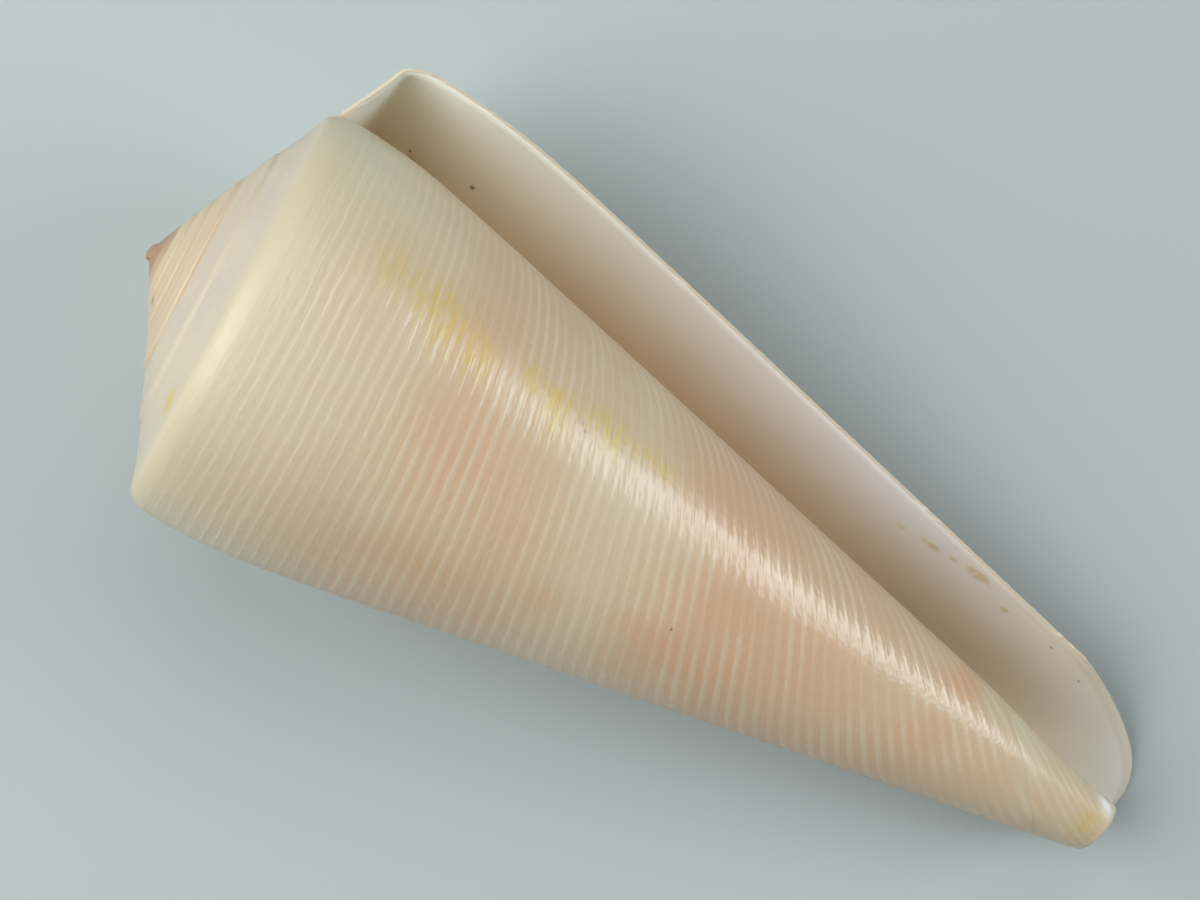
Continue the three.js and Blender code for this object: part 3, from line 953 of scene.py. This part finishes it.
    def wrinkles(self):
        """Fine wrinkles along the threads, cut into dashes. The inside and the base are calmer."""
        long = self.waves(LONG_WRINKLES, by_thread=True)
        short = self.waves(SHORT_WRINKLES, by_thread=True)
        outside = self.remap(self.side, *CALM_SIDES, 1.0, CALM_INSIDE)
        above_base = self.remap(self.along, *CALM_LENGTHS, 1.0, CALM_BASE)
        both = self.math("MULTIPLY_ADD", short, SHORT_OVER_LONG, long)
        height = self.times(both, outside, above_base)
        bump = self.add("ShaderNodeBump")
        self.give(bump.inputs["Height"], height)
        bump.inputs["Strength"].default_value = 1.0
        bump.inputs["Distance"].default_value = self.finish.wrinkles
        return bump.outputs[0]

    def dullness(self):
        """Duller on the spire, and unevenly so from one growth line to the next."""
        near_spire = self.remap(self.along, *DULL_LENGTHS)
        dull = self.math("MULTIPLY_ADD", near_spire, SPIRE_DULLNESS, self.finish.roughness)
        return self.math("MULTIPLY_ADD", self.streaks, STREAK_DULLNESS, dull)


GLAZE_IOR = 1.5


def glazed(finish):
    """The glazed material of the shell."""
    material = bpy.data.materials.new("Glaze")
    material.use_nodes = True
    tree = material.node_tree
    tree.nodes.clear()
    glaze = Glaze(tree, finish)
    shader = glaze.add("ShaderNodeBsdfPrincipled")
    glaze.give(shader.inputs["Base Color"], glaze.colour())
    glaze.give(shader.inputs["Roughness"], glaze.dullness())
    glaze.give(shader.inputs["Normal"], glaze.wrinkles())
    shader.inputs["IOR"].default_value = GLAZE_IOR
    glaze.add("ShaderNodeOutputMaterial", shader.outputs[0])
    return material


SHARP_ANGLE = math.radians(50)  # faces that meet more sharply than this keep their edge


class SHELL_OT_wind(bpy.types.Operator):
    """Wind the shell from its outline, with its spiral threads"""

    bl_idname = "shell.wind"
    bl_label = "Wind the shell"

    def execute(self, context):
        form = context.scene.shell_form
        sheet = Sheet(form, Rows(form.whorl_growth))
        values = {
            "Whorl growth": form.whorl_growth,
            "Thread height": form.thread_height / MM,
            "Thread waver": form.thread_wave / MM,
            "Growth relief": form.growth_relief / MM,
            "Axis start": AXIS_START,
            "Seed": float(form.seed),
            "Finish": glazed(context.scene.shell_finish),
        }
        shell = made_plain(sheet.to_mesh(), "shell", winding_tree(), values)
        shell.data.set_sharp_from_angle(angle=SHARP_ANGLE)
        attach(shell, "root")
        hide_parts("cone_shell")
        return {"FINISHED"}


# Lights: direction from the shell, distance and size in metres, colour.
LIGHTS = {
    "window": ((0.70, 0.55, 0.45), 0.6, (0.34, 0.14), (0.9, 0.96, 1)),
    "key": ((-0.632, -0.296, 0.716), 0.4, (0.36, 0.36), (1, 1, 1)),
    "ceiling": ((-0.178, 0.48, 0.859), 0.5, (0.4, 0.4), (1, 1, 1)),
}
AMBIENT_COLOUR = (0.97, 1, 1)
FLOOR_HALF = 2  # metres
FLOOR_ROUGHNESS = 0.9
# The camera stands above the shell and looks almost straight down.
CAMERA_PLACE = Vector((-13.025, 1.604, 129.538)) * MM
CAMERA_TILT = math.radians(-2.5)
CAMERA_ROLL = math.radians(31.28)
LENS = 54  # millimetres
FILM = 36  # its width, in millimetres
NEAREST = 1 * MM


class SHELL_OT_stage(bpy.types.Operator):
    """Set up the floor, the lights and the camera"""

    bl_idname = "shell.stage"
    bl_label = "Set the stage"

    def execute(self, context):
        stage = context.scene.shell_stage
        context.scene.view_settings.view_transform = "Standard"
        floor = self.floor(context.scene, stage)
        for name, light in LIGHTS.items():
            self.soft_light(context.scene, name, getattr(stage, name), *light)

        world = bpy.data.worlds.new("Soft light")
        world.use_nodes = True
        background = world.node_tree.nodes["Background"]
        background.inputs["Color"].default_value = (*AMBIENT_COLOUR, 1)
        background.inputs["Strength"].default_value = stage.ambient
        context.scene.world = world

        view = bpy.data.cameras.new("camera")
        view.lens, view.sensor_width, view.clip_start = LENS, FILM, NEAREST
        camera = bpy.data.objects.new("camera", view)
        camera.matrix_world = (
            Matrix.Translation(CAMERA_PLACE)
            @ Matrix.Rotation(CAMERA_TILT, 4, "Y")
            @ Matrix.Rotation(CAMERA_ROLL, 4, "Z")
        )
        context.scene.collection.objects.link(camera)
        context.scene.camera = camera
        return {"FINISHED"}

    @staticmethod
    def floor(scene, stage):
        half = FLOOR_HALF
        corners = [(-half, -half, 0), (half, -half, 0), (half, half, 0), (-half, half, 0)]
        mesh = bpy.data.meshes.new("floor")
        mesh.from_pydata(corners, [], [(0, 1, 2, 3)])
        paper = bpy.data.materials.new("Paper")
        paper.use_nodes = True
        shader = paper.node_tree.nodes["Principled BSDF"]
        shader.inputs["Base Color"].default_value = (*stage.floor, 1)
        shader.inputs["Roughness"].default_value = FLOOR_ROUGHNESS
        mesh.materials.append(paper)
        floor = bpy.data.objects.new("floor", mesh)
        scene.collection.objects.link(floor)
        return floor

    @staticmethod
    def soft_light(scene, name, watts, direction, distance, size, tint):
        light = bpy.data.lights.new(name, "AREA")
        light.shape, light.energy, light.color = "ELLIPSE", watts, tint
        light.size, light.size_y = size
        direction = Vector(direction).normalized()
        place = bpy.data.objects.new(name, light)
        place.location = (LOW + HIGH) / 2 + direction * distance
        place.rotation_euler = direction.to_track_quat("Z", "Y").to_euler()
        scene.collection.objects.link(place)


class SHELL_PT_panel(bpy.types.Panel):
    """Lists the sizes and colours of the shell and the steps that make it"""

    bl_idname = "SHELL_PT_panel"
    bl_label = "Cone Shell"
    bl_space_type = "VIEW_3D"
    bl_region_type = "UI"
    bl_category = "Shell"

    def draw(self, context):
        layout = self.layout
        scene = context.scene
        for group in (scene.shell_form, scene.shell_finish, scene.shell_stage):
            for name in type(group).__annotations__:
                layout.prop(group, name)
        layout.operator("shell.wind")
        layout.operator("shell.stage")


GROUPS = {"shell_form": ShellForm, "shell_finish": ShellFinish, "shell_stage": ShellStage}
CLASSES = (*GROUPS.values(), SHELL_OT_wind, SHELL_OT_stage, SHELL_PT_panel)


def register():
    for cls in CLASSES:
        bpy.utils.register_class(cls)
    for name, group in GROUPS.items():
        setattr(bpy.types.Scene, name, PointerProperty(type=group))


def unregister():
    for name in GROUPS:
        delattr(bpy.types.Scene, name)
    for cls in reversed(CLASSES):
        bpy.utils.unregister_class(cls)


def main():
    register()
    bpy.ops.shell.wind()
    bpy.ops.shell.stage()


if __name__ == "__main__":
    main()
